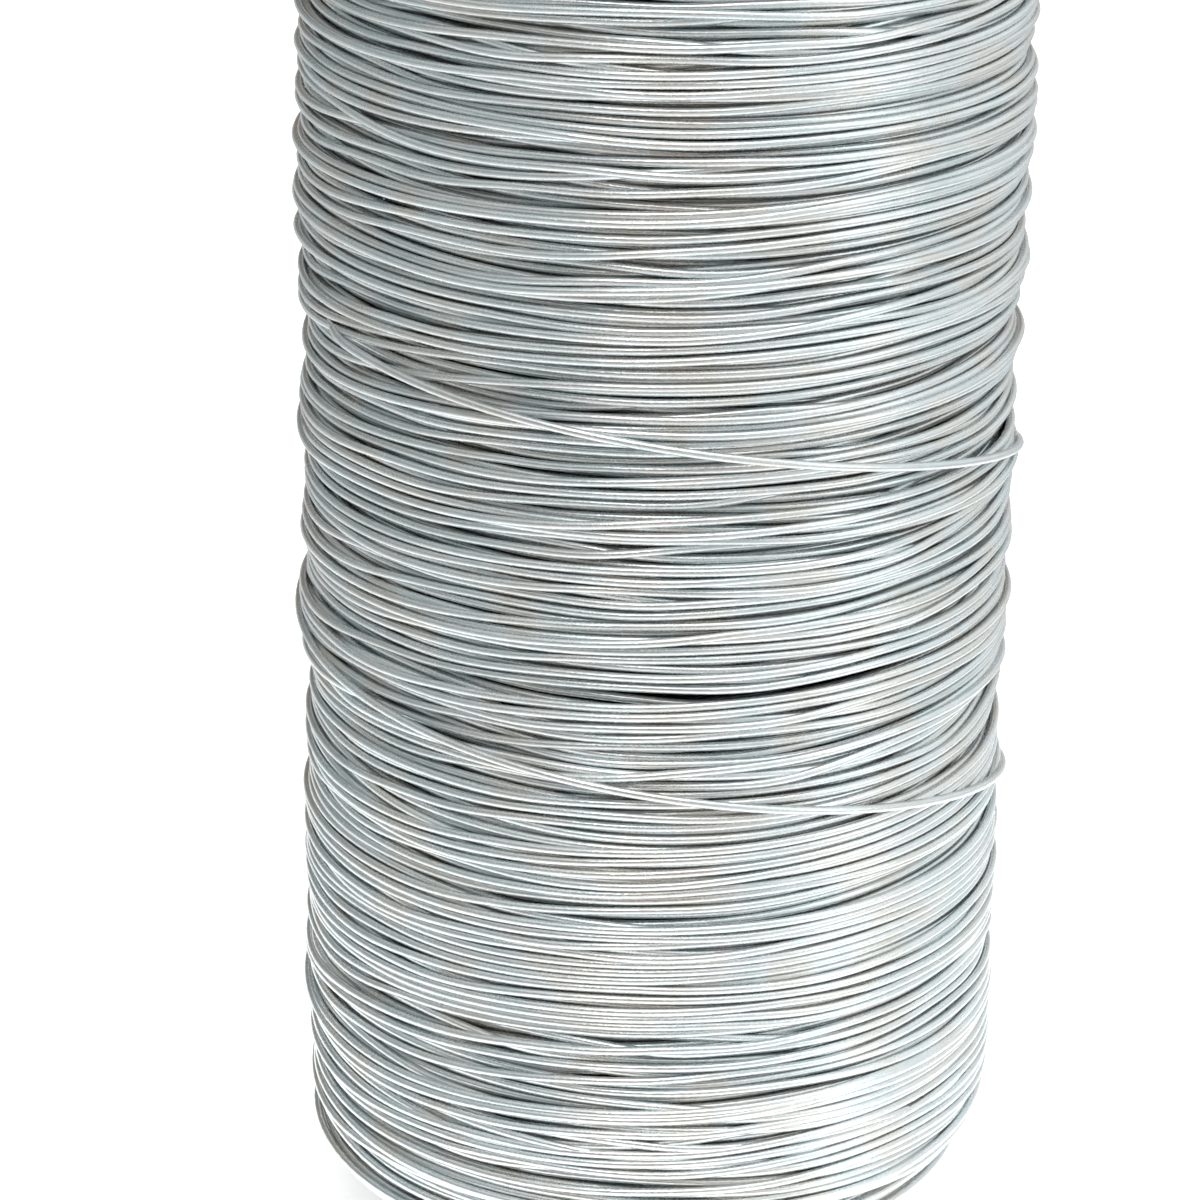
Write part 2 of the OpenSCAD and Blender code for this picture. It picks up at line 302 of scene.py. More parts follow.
def softened(values, before, passes):
    """Smooths a stretch of wire, which goes on from a value before its first one."""
    for _ in range(passes):
        padded = np.concatenate([[before], values, values[-1:]])
        values = 0.5 * values + 0.25 * (padded[:-2] + padded[2:])
    return values


def slide_off(aim, shift_before, low, high):
    """Lets a wire slip down the sides of what it crosses, as far as its stiffness allows."""
    shift = np.zeros(SPOTS)
    for _ in range(8):
        z = aim + shift
        slope = (ground_at(z + 0.3) - ground_at(z - 0.3)) / 0.6
        push = np.where(abs(slope) > 0.1, -np.clip(slope, -1.2, 1.2) * 0.25, 0)
        shift = np.clip(softened(shift + push, shift_before, 8), -0.9, 0.9)
    return np.clip(aim + shift, low, high), shift[-1]


def pull_taut(touch, before, passes=40):
    """A tight wire spans the hollows. A straight span is the average of its ends in one over the radius."""
    lowest = 1 / touch
    bent = lowest.copy()
    for _ in range(passes):
        padded = np.concatenate([[1 / before], bent, bent[-1:]])
        bent = np.minimum(lowest, (padded[:-2] + padded[2:]) / (2 * cos(2 * pi / SPOTS)))
    return 1 / bent


def lay(z, r):
    """Raises the ground over a wire that now lies there."""
    middle_row = np.clip(np.round((z - LOW) / ROW).astype(int), 0, rows - 1)
    reach = int(np.ceil(WIRE_D / ROW))
    for step in range(-reach, reach + 1):
        row = middle_row + step
        away = abs(LOW + row * ROW - z)
        here = (row >= 0) & (row < rows) & (away < WIRE_D)
        over = r + np.sqrt(np.maximum(WIRE_D ** 2 - away ** 2, 0))
        ground[spot[here], row[here]] = np.maximum(ground[spot[here], row[here]], over[here])


# %% [markdown]
# A bundle's swing is a wave of four harmonics round the axis. Each new bundle keeps some of
# the last one's swing, takes the gap from it that lets the wire lie lowest, and each turn of
# it then slides as a whole to where it lies best.

# %% The swing of a bundle
HARMONICS = np.arange(1, 5)[:, None]
SWING = np.array([1.2, 0.5, 0.25, 0.1])
KEPT_SWING = 0.7
STIFFNESS = 14
SEED = 11
dice = np.random.default_rng(SEED)


def swing(terms):
    """The wave round the axis that has these cosine and sine terms."""
    return terms[0] @ np.cos(HARMONICS * around) + terms[1] @ np.sin(HARMONICS * around)


def next_swing(terms):
    """New terms that keep a part of the old ones."""
    fresh = dice.normal(size=(2, len(SWING))) * SWING
    return KEPT_SWING * terms + sqrt(1 - KEPT_SWING ** 2) * fresh


def smooth(x):
    """Rises from 0 to 1 as x does, with no kink at either end."""
    x = np.clip(x, 0, 1)
    return x * x * (3 - 2 * x)


# %% Winding the layers
turns = []
direction = 1
mean_r = FIRST_R + WIRE_R
low, high = traverse(mean_r)
z_now = low
slid = shift_before = edge_before = 0
r_before = mean_r
in_bundle = 0
old_swing = new_swing = np.zeros((2, len(SWING)))
for layer in range(LAYERS):
    laid = []
    while low <= z_now <= high:
        ease = np.ones(SPOTS)
        gap = 0
        old_swing = new_swing
        edge = np.clip(min(z_now - low, high - z_now) / 6, 0, 1)
        if in_bundle <= 0:
            in_bundle = dice.integers(2, 6)
            ease = smooth(turned / 0.7)
            new_swing = next_swing(old_swing)
            tries = np.linspace(-0.4, 1.8, 12) * WIRE_D
            costs = []
            for g in tries:
                trial = z_now + direction * (WIRE_D + g) + swing(new_swing) * edge
                here = ground_at(np.clip(trial, low, high))
                costs.append(here.mean() + 0.3 * here.max() + 0.1 * g + dice.normal(0, 0.05))
            gap = tries[int(np.argmin(costs))]
        swung = edge_before + (edge - edge_before) * smooth(turned / 0.4)
        wave = (swing(old_swing) * (1 - ease) + swing(new_swing) * ease) * swung
        aim = z_now + direction * (WIRE_D * 1.005 * turned + gap * ease) + wave
        best = None
        for slide in np.linspace(-1.2, 1.2, 9) * edge:
            here = ground_at(np.clip(aim + slide, low, high))
            cost = here.mean() + 0.25 * here.max() + 0.08 * abs(slide)
            if best is None or cost < best[0]:
                best = (cost, slide)
        aim = aim + slid + (best[1] - slid) * smooth(turned / 0.5)
        slid, edge_before = best[1], edge
        z, shift_before = slide_off(np.clip(aim, low, high), shift_before, low, high)
        r = softened(pull_taut(ground_at(z), r_before), r_before, STIFFNESS)
        r_before = r[-1]
        lay(z, r)
        laid.append(r.mean())
        turns.append((z, r, layer))
        z_now += direction * (WIRE_D * 1.005 + gap)
        in_bundle -= 1
    mean_r = float(np.mean(laid[10:-10])) + WIRE_D * 0.9
    direction = -direction
    low, high = traverse(mean_r)
    z_now = min(max(z_now, low), high)
    print("layer", layer + 1, "turns", len(laid), "mean radius", round(float(np.mean(laid)), 2))

# %% [markdown]
# The turns are joined end to end into one long wire, and the small steps between one turn
# and the next are smoothed out. Only what can be seen is kept: a turn that is everywhere
# deep under the surface is left out, and the CAD winding's place is taken by the rest.

# %% One long wire
SEAM = 16
SEEN_DEPTH = 2.3 * WIRE_D
PROUD = 1.1

heights = np.array([t[0] for t in turns])
reaches = np.array([t[1] for t in turns])
share = smooth((SEAM - np.arange(SEAM)) / SEAM) / 2
for values in (heights, reaches):
    steps = values[1:, 0] - (1.5 * values[:-1, -1] - 0.5 * values[:-1, -3])
    values[1:, :SEAM] -= steps[:, None] * share
    values[:-1, -SEAM:] += steps[:, None] * share[::-1]
print("steps at the seam", np.round(np.percentile(abs(steps), [50, 99]), 3), "mm")
depth = np.array([(ground_at(z) - WIRE_D * 0.5 - r).min() for z, r in zip(heights, reaches)])
kept = depth < SEEN_DEPTH
in_top_layer = [t[2] == LAYERS - 1 for t in turns]
top_r = float(np.median(reaches[in_top_layer]))


def pressed(r):
    """The winding's own radius. Under tension the highest crossings are pressed in."""
    over = np.maximum(r - top_r, 0)
    return np.minimum(r, top_r) + PROUD * np.tanh(over / PROUD) + WINDING_R - WIRE_R - top_r


print("turns", len(turns), "kept", int(kept.sum()), "median radius", round(top_r, 2), "mm")
outside = pressed(reaches[in_top_layer]) + WIRE_R
print("outside radius", np.round(np.percentile(outside, [1, 50, 99, 100]), 2))


# %% [markdown]
# Each stretch of wire becomes a curve with a round bevel, converted to a mesh. The mesh then
# gets two attributes for its finish: a place in the wire's own space, which is millimetres
# along it and across it, and a tone that differs from one stretch to the next.

# %% From points to wire
SIDES = 8


def wire_piece(name, strands):
    """One mesh piece from lists of points in millimetres, each the middle of a stretch of wire."""
    curve = bpy.data.curves.new(name, "CURVE")
    curve.dimensions = "3D"
    curve.bevel_depth = WIRE_R * MM
    curve.bevel_resolution = (SIDES - 4) // 2
    curve.twist_mode = "Z_UP"
    for points in strands:
        spline = curve.splines.new("POLY")
        spline.points.add(len(points) - 1)
        spline.points.foreach_set("co", np.column_stack([points * MM, np.ones(len(points))]).ravel())
    piece = bpy.data.objects.new(name, curve)
    bpy.context.collection.objects.link(piece)
    bpy.ops.object.select_all(action="DESELECT")
    piece.select_set(True)
    bpy.context.view_layer.objects.active = piece
    bpy.ops.object.convert(target="MESH")
    mark_wire(piece.data, strands)
    bpy.ops.object.mode_set(mode="EDIT")
    bpy.ops.mesh.select_all(action="SELECT")
    bpy.ops.mesh.fill_holes(sides=SIDES)
    bpy.ops.object.mode_set(mode="OBJECT")
    piece.data.polygons.foreach_set("use_smooth", np.ones(len(piece.data.polygons), bool))
    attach(piece, BODY)
    return piece


def mark_wire(mesh, strands):
    """Stores each point's place in the wire's own space, and its stretch's tone."""
    places, tones = [], []
    ends = np.cumsum([len(s) for s in strands]) * SIDES
    spots_xyz = np.zeros(len(mesh.vertices) * 3)
    mesh.vertices.foreach_get("co", spots_xyz)
    spots_xyz = spots_xyz.reshape(-1, 3) / MM
    assert len(spots_xyz) == ends[-1], (len(spots_xyz), ends[-1])
    start = 0
    for points, end in zip(strands, ends):
        ring = spots_xyz[start:end].reshape(len(points), SIDES, 3)
        along = np.concatenate([[0], np.cumsum(np.linalg.norm(np.diff(points, axis=0), axis=1))])
        out = np.hypot(ring[..., 0], ring[..., 1]) - np.hypot(points[:, 0], points[:, 1])[:, None]
        up = ring[..., 2] - points[:, 2][:, None]
        along = np.repeat(along[:, None] + dice.uniform(0, 500), SIDES, axis=1)
        places.append(np.stack([along, out, up], axis=-1).reshape(-1, 3))
        tones.append(np.full(end - start, dice.uniform()))
        start = end
    place = mesh.attributes.new("wire_place", "FLOAT_VECTOR", "POINT")
    place.data.foreach_set("vector", np.concatenate(places).astype(np.float32).ravel())
    tone = mesh.attributes.new("wire_tone", "FLOAT", "POINT")
    tone.data.foreach_set("value", np.concatenate(tones).astype(np.float32))


# %% The winding's pieces
PIECE_TURNS = 45


def turn_points(number):
    """The middle of one turn of wire, and the first point of the next turn where it is kept."""
    z, r = heights[number], pressed(reaches[number])
    points = np.column_stack([r * np.cos(around), r * np.sin(around), z])
    if number + 1 < len(turns) and kept[number + 1]:
        r, z = pressed(reaches[number + 1, 0]), heights[number + 1, 0]
        points = np.vstack([points, [r * cos(around[0]), r * sin(around[0]), z]])
    return points


def joined_turns(numbers):
    """Follows the kept turns and starts a new stretch wherever one is missing."""
    strands, current = [], []
    for number in numbers:
        points = turn_points(number)
        goes_on = len(points) > SPOTS
        current.append(points[:SPOTS] if goes_on and number != numbers[-1] else points)
        if not goes_on:
            strands.append(np.vstack(current))
            current = []
    if current:
        strands.append(np.vstack(current))
    return strands


kept_numbers = np.flatnonzero(kept)
winding = []
for first in range(0, len(kept_numbers), PIECE_TURNS):
    numbers = list(kept_numbers[first:first + PIECE_TURNS])
    winding.append(wire_piece(f"winding_{len(winding) + 1:02d}", joined_turns(numbers)))
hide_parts("wire_outer_layers")
print("winding pieces", len(winding), "faces", sum(len(p.data.polygons) for p in winding))

# %% [markdown]
# The last pass of the wire runs fast down the outside, over everything else. It follows the
# same formula as its CAD tube, and it is pulled taut over the wires that it crosses.

# %% Loose strand
STRAND_FROM = -160
STRAND_RUN = 630
STRAND_STEP = 360 / SPOTS
STRAND_ABOVE = 27
STRAND_PITCH = 59
STRAND_DIP = 4.5
LAY_GAP = 0.1
winding_middle = (LOW + HIGH) / 2


def strand_height(angle):
    """Height of the loose strand at an angle in degrees. At -90 it passes the front."""
    dip = STRAND_DIP * (1 - np.cos(np.radians(angle + 90)))
    return winding_middle + STRAND_ABOVE - STRAND_PITCH * (angle + 90) / 360 - dip


def ground_under(angles, z):
    """The ground at any angle and height, raised as the turns were."""
    column = np.round((np.asarray(angles) - SEAM_ANGLE) / 360 * SPOTS).astype(int) % SPOTS
    row = np.clip((np.asarray(z) - LOW) / ROW, 0, rows - 1.001).astype(int)
    return pressed(ground[column, row])


def tucked(angles, start, end, length=14, deep=2.0):
    """How far a wire's ends sink between the others, in millimetres."""
    from_end = np.minimum(angles - start, end - angles)
    return deep * WIRE_D * (1 - smooth(from_end / length))


strand_angles = np.arange(STRAND_FROM, STRAND_FROM + STRAND_RUN + 0.1, STRAND_STEP)
strand_z = strand_height(strand_angles)
strand_touch = np.maximum(ground_under(strand_angles, strand_z), WINDING_R + LAY_GAP + WIRE_R)
strand_r = softened(pull_taut(strand_touch, strand_touch[0], 120), strand_touch[0], STIFFNESS)
strand_r -= tucked(strand_angles, strand_angles[0], strand_angles[-1])
turn_angle = np.radians(strand_angles)
strand_points = np.column_stack([strand_r * np.cos(turn_angle), strand_r * np.sin(turn_angle), strand_z])
strand = wire_piece("loose_strand_wire", [strand_points])
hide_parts("loose_strand")
print("loose strand out to", round(float(strand_r.max()) + WIRE_R, 2), "mm")

# %% [markdown]
# Both ends of the wire are fixed in the flanges. The start comes down through a hole in the
# lower flange and is bent along its web. The tail climbs the upper shoulder, goes up through
# a notch in the rim and is bent inwards. Both follow the routes of their CAD tubes.

# %% Wire ends
FLANGE_T = LOW
TOTAL_H = HIGH + FLANGE_T
WEB_T = 3.5
BEND_R = 2
BEND_GAP = 0.3
BENT_Z = FLANGE_T - WEB_T - BEND_GAP - WIRE_R
START_ANGLE = radians(195)
START_R = 39.75
START_BENT = 6
NOTCH_ANGLE = 45
TAIL_R = END_R + LAY_GAP + WIRE_R
TAIL_BENT = 6
TAIL_RISE = 12
TAIL_SWEEP = 40


def bend_route(straight):
    """A right-angled bend from straight down to sideways, as pairs of sideways and height."""
    bend = np.radians(np.arange(0, 91, 7.5))
    points = np.column_stack([BEND_R - BEND_R * np.cos(bend), BENT_Z + BEND_R - BEND_R * np.sin(bend)])
    return np.vstack([points, [BEND_R + straight, BENT_Z]])


down = np.vstack([[0, FLANGE_T + 3], [0, FLANGE_T - 1], bend_route(START_BENT)])
outward = np.array([cos(START_ANGLE), sin(START_ANGLE), 0])
sideways = np.array([sin(START_ANGLE), -cos(START_ANGLE), 0])
start_points = START_R * outward + down[:, :1] * sideways + down[:, 1:] * np.array([0, 0, 1])
start_wire = wire_piece("start_wire", [start_points])
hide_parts("wire_start_end")

left = 1 - np.arange(33) / 32
climb_angle = NOTCH_ANGLE - TAIL_SWEEP * left ** 2
climb_z = HIGH - TAIL_RISE * left
into_shoulder = np.maximum(SHOULDER_H - (HIGH - climb_z), 0)
shoulder = WINDING_R - SHOULDER_R + np.sqrt(SHOULDER_R ** 2 - into_shoulder ** 2) + LAY_GAP + WIRE_R
touching = np.maximum(ground_under(climb_angle, np.minimum(climb_z, HIGH - 2)), shoulder)
climb_r = softened(shoulder + (touching - shoulder) * smooth(left * 3), touching[0], 6)
climb_r -= 1.6 * WIRE_D * smooth((left - 0.7) / 0.3)
climb_r[-1] = TAIL_R
climb = np.column_stack([climb_r * np.cos(np.radians(climb_angle)),
                         climb_r * np.sin(np.radians(climb_angle)), climb_z])
over = bend_route(TAIL_BENT)[1:]
inward_r = TAIL_R - over[:, 0]
notch = radians(NOTCH_ANGLE)
bent_over = np.column_stack([inward_r * cos(notch), inward_r * sin(notch), TOTAL_H - over[:, 1]])
tail_wire = wire_piece("tail_wire", [np.vstack([climb, bent_over])])
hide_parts("wire_tail_end")
print("start wire points", len(start_points), "tail wire points", len(climb) + len(bent_over))

# %% [markdown]
# Galvanised wire is drawn steel with a skin of zinc: pale, a little blue, and smooth at a
# glance. Close up the skin has fine streaks along the wire and tiny dimples, and its shine
# comes and goes every few millimetres. Faint blue and brown patches spread over many turns at
# once, so they read the spool's space. The rest of the finish reads the wire's own space, in which a
# noise can be stretched along the wire, and every number that varies is worked out from it.

# %% Galvanised wire
def new_material(name):
    """An empty material with its shader, and its node tree."""
    made = bpy.data.materials.new(name)
    made.use_nodes = True
    made.node_tree.nodes.clear()
    shader = add_node(made.node_tree, "ShaderNodeBsdfPrincipled")
    output = add_node(made.node_tree, "ShaderNodeOutputMaterial")
    made.node_tree.links.new(shader.outputs[0], output.inputs["Surface"])
    return made, made.node_tree, shader


def noise(tree, place, scale, stretch=(1, 1, 1), detail=3.0, rough=0.5):
    """Noise on a place socket, with a scale for each axis."""
    mapping = add_node(tree, "ShaderNodeMapping", {"Scale": tuple(scale * s for s in stretch)})
    tree.links.new(place, mapping.inputs["Vector"])
    made = add_node(tree, "ShaderNodeTexNoise", {"Scale": 1.0, "Detail": detail, "Roughness": rough})
    tree.links.new(mapping.outputs[0], made.inputs["Vector"])
    return made.outputs["Fac"]


def bump(tree, height, distance, strength=1.0, after=None):
    """A bump of a height in metres, on top of an earlier one."""
    made = add_node(tree, "ShaderNodeBump", {"Strength": strength, "Distance": distance})
    tree.links.new(height, made.inputs["Height"])
    if after is not None:
        tree.links.new(after, made.inputs["Normal"])
    return made.outputs["Normal"]


def galvanised():
    """Zinc on drawn wire, on any piece that carries the wire's attributes."""
    made, tree, shader = new_material("galvanised_wire")
    place = add_node(tree, "ShaderNodeAttribute", attribute_name="wire_place").outputs["Vector"]
    tone = add_node(tree, "ShaderNodeAttribute", attribute_name="wire_tone").outputs["Fac"]
    streaks = noise(tree, place, 1.0, (0.35, 7, 7), 4, 0.6)
    ripple = noise(tree, place, 1.0, (0.9, 1.1, 1.1), 2, 0.5)
    grain = noise(tree, place, 1.0, (1.6, 5, 5), 2, 0.5)
    patches = noise(tree, place, 1.0, (0.06, 0.3, 0.3), 2)
    stain = noise(tree, place, 1.0, (0.02, 0.6, 0.6), 3)
    clean = ramp(tree, streaks, [(0.3, (0.7, 0.73, 0.735)), (0.7, (0.85, 0.885, 0.89))])
    warm = ramp(tree, stain, [(0.5, 0.0), (0.75, 0.45)])
    aged = mixed(tree, warm, clean, (0.62, 0.585, 0.54))
    where = add_node(tree, "ShaderNodeTexCoord").outputs["Object"]
    patina = ramp(tree, noise(tree, where, 80, (1, 1, 1.6), 2), [
        (0.38, (0.93, 0.965, 0.97)), (0.5, (1.0, 1.0, 1.0)), (0.64, (0.98, 0.95, 0.915))])
    aged = mixed(tree, 1.0, aged, patina, "MULTIPLY")
    toned = mixed(tree, 1.0, aged, ramp(tree, tone, [(0.0, 0.86), (1.0, 1.0)]), "MULTIPLY")
    tree.links.new(toned, shader.inputs["Base Color"])
    shader.inputs["Metallic"].default_value = 0.74
    dull = ramp(tree, patches, [(0.3, 0.14), (0.7, 0.25)])
    gritty = ramp(tree, grain, [(0.3, 0.0), (0.8, 0.1)])
    tree.links.new(maths(tree, "ADD", dull, gritty), shader.inputs["Roughness"])
    long_lines = bump(tree, streaks, 0.004 * MM)
    dimples = bump(tree, grain, 0.014 * MM, after=long_lines)
    tree.links.new(bump(tree, ripple, 0.05 * MM, after=dimples), shader.inputs["Normal"])
    return made


zinc_wire = galvanised()
wires = winding + [strand, start_wire, tail_wire]
for piece in wires:
    piece.data.materials.clear()
    piece.data.materials.append(zinc_wire)
print("finish", zinc_wire.name, "on", len(wires), "pieces")

# %% [markdown]
# The flanges are black moulded plastic. The mould was spark-eroded, which leaves a fine even
# grain, and handling rubs the edges paler and glossier. A bevel node finds the edges: there its
# normal turns away from the true one. Their CAD shape is right, so they only get this finish.

# %% Moulded plastic
def object_place(tree):
    """The place socket of a piece that is fixed in space, in metres."""
    return add_node(tree, "ShaderNodeTexCoord").outputs["Object"]


def edge_share(tree, radius):
    """Near 0 on flat stretches and up to 1 on edges, with the rounded normal."""
    rounded = add_node(tree, "ShaderNodeBevel", {"Radius": radius}, samples=6)
    true = add_node(tree, "ShaderNodeNewGeometry").outputs["Normal"]
    turned_by = add_node(tree, "ShaderNodeVectorMath", operation="DOT_PRODUCT")
    tree.links.new(rounded.outputs[0], turned_by.inputs[0])
    tree.links.new(true, turned_by.inputs[1])
    share_of = maths(tree, "SUBTRACT", 1.0, turned_by.outputs["Value"])
    return maths(tree, "MULTIPLY", share_of, 4.0, clamp=True), rounded.outputs[0]


def moulded():
    """Black plastic with a spark-eroded grain, a trace of dust and rubbed edges."""
    made, tree, shader = new_material("flange_plastic")
    place = object_place(tree)
    eroded = noise(tree, place, 2600.0, detail=2)
    clouds = noise(tree, place, 60.0, detail=4)
    scratches = noise(tree, place, 90.0, (1, 14, 14), 3, 0.6)
    edges, rounded = edge_share(tree, 0.5 * MM)
    base = ramp(tree, clouds, [(0.3, (0.022, 0.024, 0.026)), (0.7, (0.034, 0.036, 0.037))])
    dusty = mixed(tree, ramp(tree, clouds, [(0.5, 0.0), (0.8, 0.25)]), base, (0.12, 0.12, 0.115))
    rubbed = maths(tree, "MULTIPLY", edges, ramp(tree, scratches, [(0.4, 0.15), (0.65, 0.8)]))
    tree.links.new(mixed(tree, rubbed, dusty, (0.11, 0.115, 0.12)), shader.inputs["Base Color"])
    matt = ramp(tree, eroded, [(0.3, 0.42), (0.7, 0.58)])
    tree.links.new(mixed(tree, rubbed, matt, 0.3), shader.inputs["Roughness"])
    grained = bump(tree, eroded, 0.035 * MM, after=rounded)
    tree.links.new(bump(tree, scratches, 0.01 * MM, after=grained), shader.inputs["Normal"])
    return made


def give(piece, finish):
    """Sets a piece's only material."""
    piece.data.materials.clear()
    piece.data.materials.append(finish)


black_plastic = moulded()
for end in ("lower", "upper"):
    give(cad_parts[f"{end}_flange"], black_plastic)
print("finish", black_plastic.name, "nodes", len(black_plastic.node_tree.nodes))

# %% [markdown]
# Everything turned on a lathe starts as a circle of a few points, one for each corner of the
# section. The points are moved to the section's corners and the section is spun round the
# axis. Each corner is given as a short chamfer, as a real turned or stamped piece has one.

# %% Turned pieces
def only(piece):
    """Makes a piece the only selected and active one."""
    bpy.ops.object.select_all(action="DESELECT")
    piece.select_set(True)
    bpy.context.view_layer.objects.active = piece


def chamfered(corners, size):
    """Cuts every corner of a closed section, given as pairs of radius and height."""
    cut = []
    for i, corner in enumerate(corners):
        here = Vector(corner)
        for other in (corners[i - 1], corners[(i + 1) % len(corners)]):
            toward = Vector(other) - here
            cut.append(here + toward.normalized() * min(size, toward.length / 3))
    return cut


def lathe(name, section, steps, centre=(0, 0)):
    """A closed section spun round an upright axis, all in millimetres."""
    bpy.ops.object.select_all(action="DESELECT")
    bpy.ops.mesh.primitive_circle_add(vertices=len(section), radius=1, location=(0, 0, 0))
    piece = bpy.context.object
    piece.name = piece.data.name = name
    for vertex, (r, z) in zip(piece.data.vertices, section):
        vertex.co = Vector((centre[0] + r, centre[1], z)) * MM
    bpy.ops.object.mode_set(mode="EDIT")
    bpy.ops.mesh.select_all(action="SELECT")
    axis_foot = Vector((*centre, 0)) * MM
    bpy.ops.mesh.spin(steps=steps, angle=2 * pi, center=axis_foot, axis=(0, 0, 1))
    bpy.ops.mesh.select_all(action="SELECT")
    bpy.ops.mesh.remove_doubles(threshold=0.001 * MM)
    bpy.ops.mesh.normals_make_consistent(inside=False)
    bpy.ops.object.mode_set(mode="OBJECT")
    bpy.ops.object.shade_smooth_by_angle(angle=radians(30))
    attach(piece, BODY)
    return piece


def stands_for(piece, node, finish):
    """Gives a finished piece its finish and hides the CAD node that it stands for."""
    give(piece, finish)
    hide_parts(node)


# %% [markdown]
# Bushes and fasteners are steel. A turned face keeps the tool's rings, so the bushes' finish
# is worked out from the distance to the axis. The fasteners are zinc plated, with a faint
# blue and straw tint that changes over each piece.

# %% Steel finishes
def from_axis(tree, place):
    """Distance from the spindle axis, as a socket."""
    flat = add_node(tree, "ShaderNodeVectorMath", operation="MULTIPLY")
    flat.inputs[1].default_value = (1, 1, 0)
    tree.links.new(place, flat.inputs[0])
    length = add_node(tree, "ShaderNodeVectorMath", operation="LENGTH")
    tree.links.new(flat.outputs[0], length.inputs[0])
    return length.outputs["Value"]


def turned_steel():
    """Bright steel with tool rings and a little oil."""
    made, tree, shader = new_material("bush_steel")
    place = object_place(tree)
    axes_of = add_node(tree, "ShaderNodeSeparateXYZ")
    tree.links.new(place, axes_of.inputs[0])
    ring_place = add_node(tree, "ShaderNodeCombineXYZ")
    tree.links.new(from_axis(tree, place), ring_place.inputs["X"])
    tree.links.new(axes_of.outputs["Z"], ring_place.inputs["Z"])
    rings = noise(tree, ring_place.outputs[0], 5200.0, detail=2)
    oil = noise(tree, place, 160.0, detail=4)
    bright = ramp(tree, rings, [(0.3, (0.42, 0.42, 0.43)), (0.7, (0.6, 0.6, 0.6))])
    oily = ramp(tree, oil, [(0.5, 0.0), (0.75, 0.5)])
    tree.links.new(mixed(tree, oily, bright, (0.25, 0.2, 0.15)), shader.inputs["Base Color"])
    tree.links.new(ramp(tree, oil, [(0.3, 0.2), (0.7, 0.38)]), shader.inputs["Roughness"])
    shader.inputs["Metallic"].default_value = 1.0
    tree.links.new(bump(tree, rings, 0.01 * MM), shader.inputs["Normal"])
    return made


def plated():
    """Zinc plate with a blue and straw tint."""
    made, tree, shader = new_material("fastener_zinc")
    place = object_place(tree)
    tint = noise(tree, place, 220.0, detail=2)
    grain = noise(tree, place, 2400.0, detail=3)
    _, rounded = edge_share(tree, 0.15 * MM)
    tinted = ramp(tree, tint, [
        (0.35, (0.58, 0.63, 0.7)), (0.5, (0.68, 0.69, 0.68)), (0.65, (0.72, 0.66, 0.5))])
    tree.links.new(tinted, shader.inputs["Base Color"])
    tree.links.new(ramp(tree, grain, [(0.3, 0.22), (0.75, 0.42)]), shader.inputs["Roughness"])
    shader.inputs["Metallic"].default_value = 1.0
    tree.links.new(bump(tree, grain, 0.012 * MM, after=rounded), shader.inputs["Normal"])
    return made


steel = turned_steel()
plate = plated()

# %% Bushes
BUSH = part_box("lower_bush")
BUSH_LEN = BUSH[1].z / MM
COLLAR_R = BUSH[1].x / MM
COLLAR_T = 2
BUSH_R = COLLAR_R - 3
BORE_R = 11

bush_section = [(BORE_R, 0), (COLLAR_R, 0), (COLLAR_R, COLLAR_T), (BUSH_R, COLLAR_T),
                (BUSH_R, BUSH_LEN), (BORE_R, BUSH_LEN)]
for end in ("lower", "upper"):
    flipped = [(r, z if end == "lower" else TOTAL_H - z) for r, z in bush_section]
    bush = lathe(f"{end}_bush_turned", chamfered(flipped, 0.35), 96)
    stands_for(bush, f"{end}_bush", steel)
print("bushes", len(bush.data.polygons), "faces each")

# %% [markdown]
# Bolt heads and nuts are forged hexagons. Their corners are cut by a cone, which leaves the
# curved edges that every nut shows. The hexagon is a cylinder of many sides whose points
# are moved out to the flats, and the points of its chamfered ends are dropped by the cone.

# %% Hexagons
HEX_AF = 10
CONE = tan(radians(30))
HEX_SIDES = 60


def hex_reach(angle):
    """Distance from the middle of a hexagon to its edge, with a corner at angle 0."""
    from_flat = (angle % (pi / 3)) - pi / 6
    return HEX_AF / 2 / cos(from_flat)


def hexagon(name, centre, low_z, high_z, cut_ends):
    """A forged hexagon that stands on a bolt's axis. cut_ends names its chamfered ends."""
    bpy.ops.object.select_all(action="DESELECT")
    bpy.ops.mesh.primitive_cylinder_add(vertices=HEX_SIDES, radius=HEX_AF / 2 * MM, depth=1)
    piece = bpy.context.object
    piece.name = piece.data.name = name
    bpy.ops.object.mode_set(mode="EDIT")
    bpy.ops.mesh.select_mode(type="FACE")
    bpy.ops.mesh.select_all(action="DESELECT")
    shape = bmesh.from_edit_mesh(piece.data)
    for face in shape.faces:
        face.select_set(abs(face.normal.z) > 0.9)
    bmesh.update_edit_mesh(piece.data)
    bpy.ops.mesh.inset(thickness=0.4 * MM, use_individual=True)
    bpy.ops.object.mode_set(mode="OBJECT")
    for vertex in piece.data.vertices:
        x, y, z = vertex.co
        at_high = z > 0
        level_z = high_z if at_high else low_z
        reach = hex_reach(atan2(y, x))
        if sqrt(x * x + y * y) > (HEX_AF / 2 - 0.2) * MM:
            drop = (reach - HEX_AF / 2 + 0.3) * CONE if ("high" if at_high else "low") in cut_ends else 0
            level_z += -drop if at_high else drop
            stretch = reach * MM / sqrt(x * x + y * y)
        else:
            stretch = (HEX_AF / 2 - 0.3) * MM / sqrt(x * x + y * y)
        vertex.co = (centre[0] * MM + x * stretch, centre[1] * MM + y * stretch, level_z * MM)
    only(piece)
    bpy.ops.object.shade_smooth_by_angle(angle=radians(14))
    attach(piece, BODY)
    return piece


